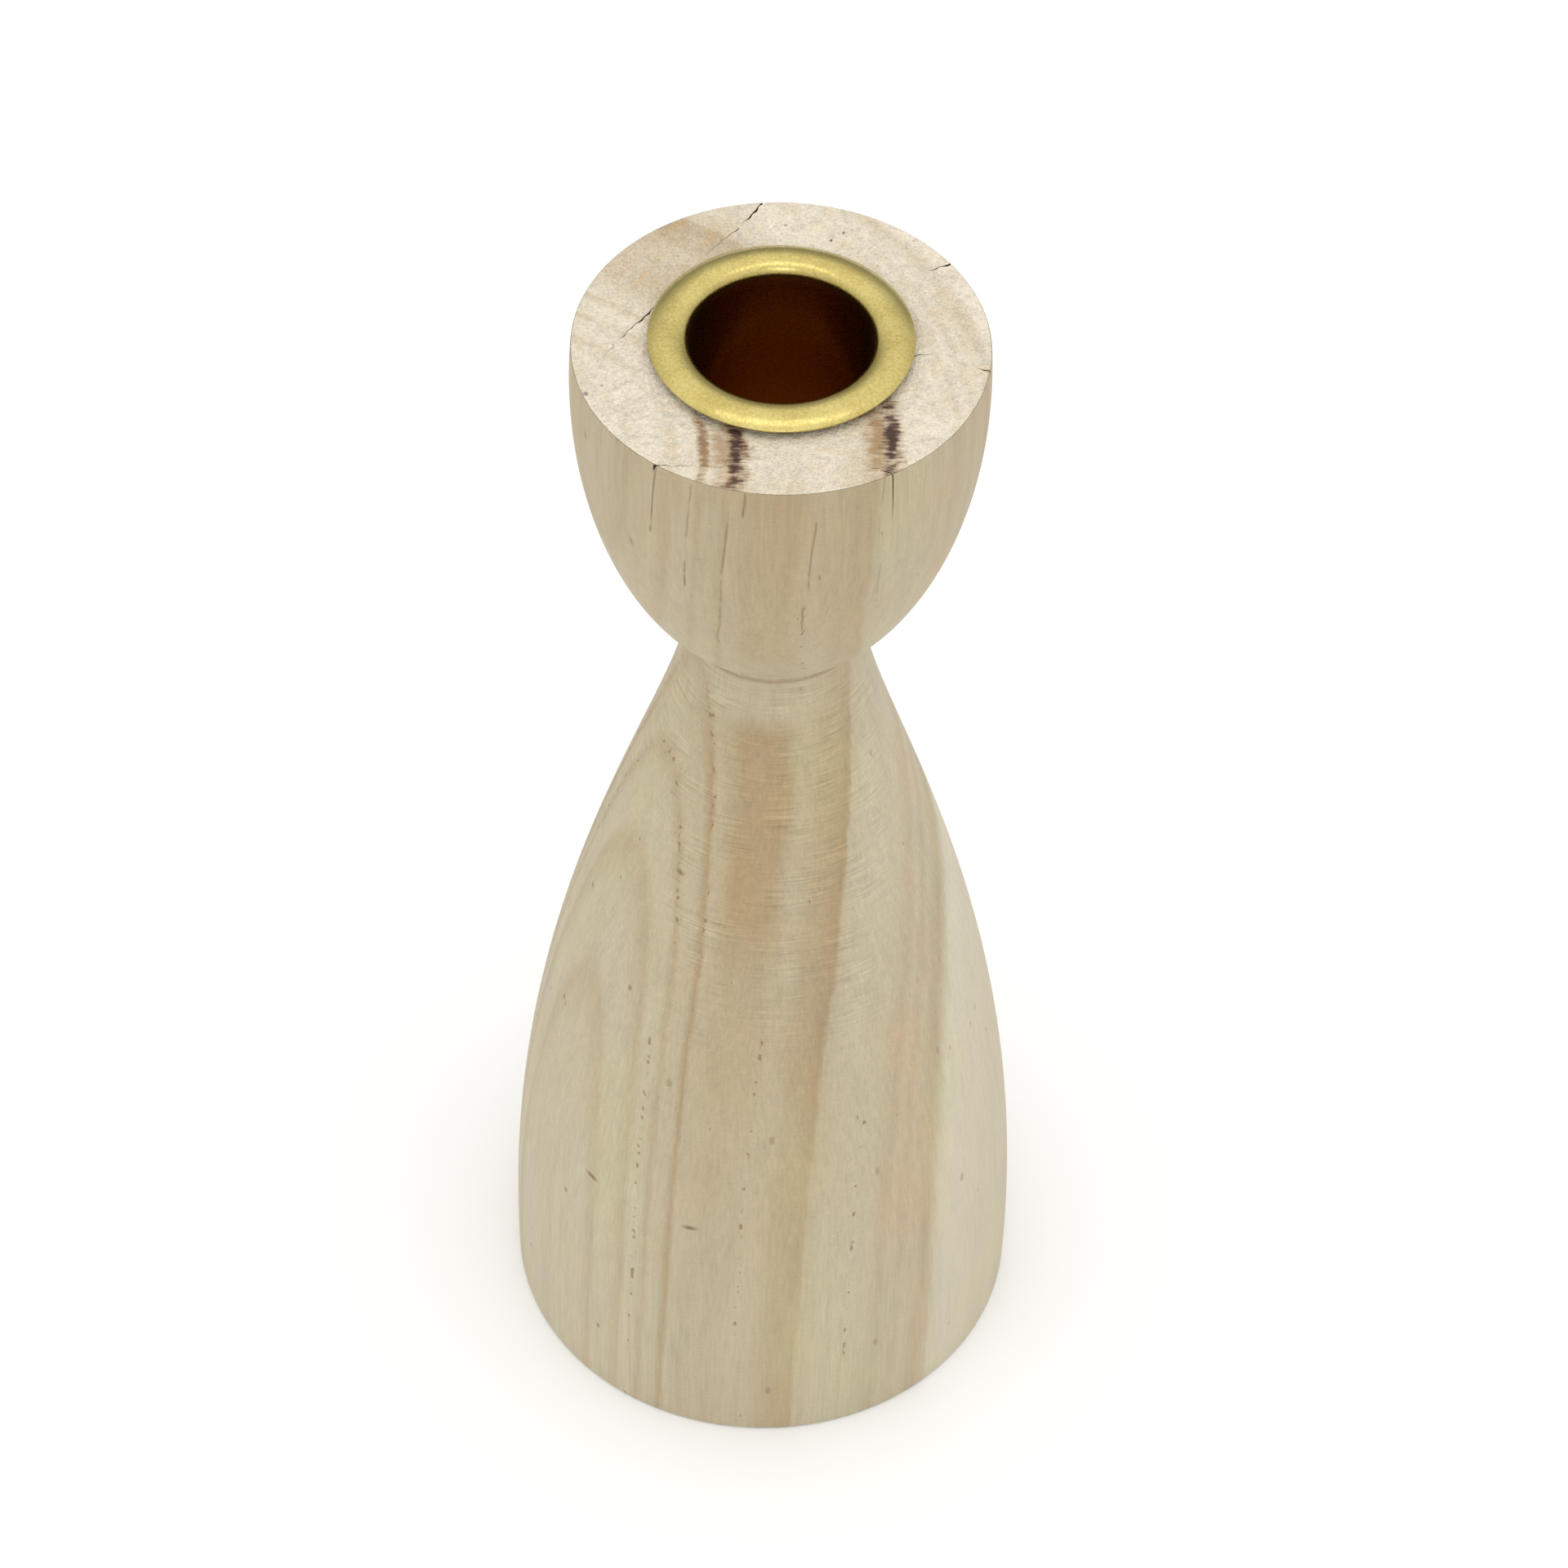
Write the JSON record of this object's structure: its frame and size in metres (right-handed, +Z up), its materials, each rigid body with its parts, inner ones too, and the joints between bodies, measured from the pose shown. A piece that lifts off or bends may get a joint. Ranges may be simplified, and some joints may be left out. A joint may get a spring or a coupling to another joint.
{
  "type": "candlestick",
  "caption": "Turned wooden candlestick with a bell-shaped body, narrow neck, bowl-shaped head and a removable brass cup for a taper candle.",
  "frame": {"origin": "centre of the flat base, on the surface the candlestick stands on", "axes": "+Z up along the turning axis; the user faces the candlestick looking along +Y, with +X to the right"},
  "size_m": [0.0678, 0.0678, 0.1742],
  "materials": {
    "pine": "bare sanded pine, matt, with growth rings, resin flecks and drying checks",
    "brass": "satin brass, lightly aged, dark inside the sleeve"
  },
  "bodies": {
    "stick": {"turned_stick": "pine"},
    "cup": {"candle_cup": "brass"}
  },
  "joints": [
    {"name": "cup_lift", "type": "slide", "parent": "stick", "child": "cup", "axis": [0, 0, 1], "range_m": [0, 0.032]}
  ]
}
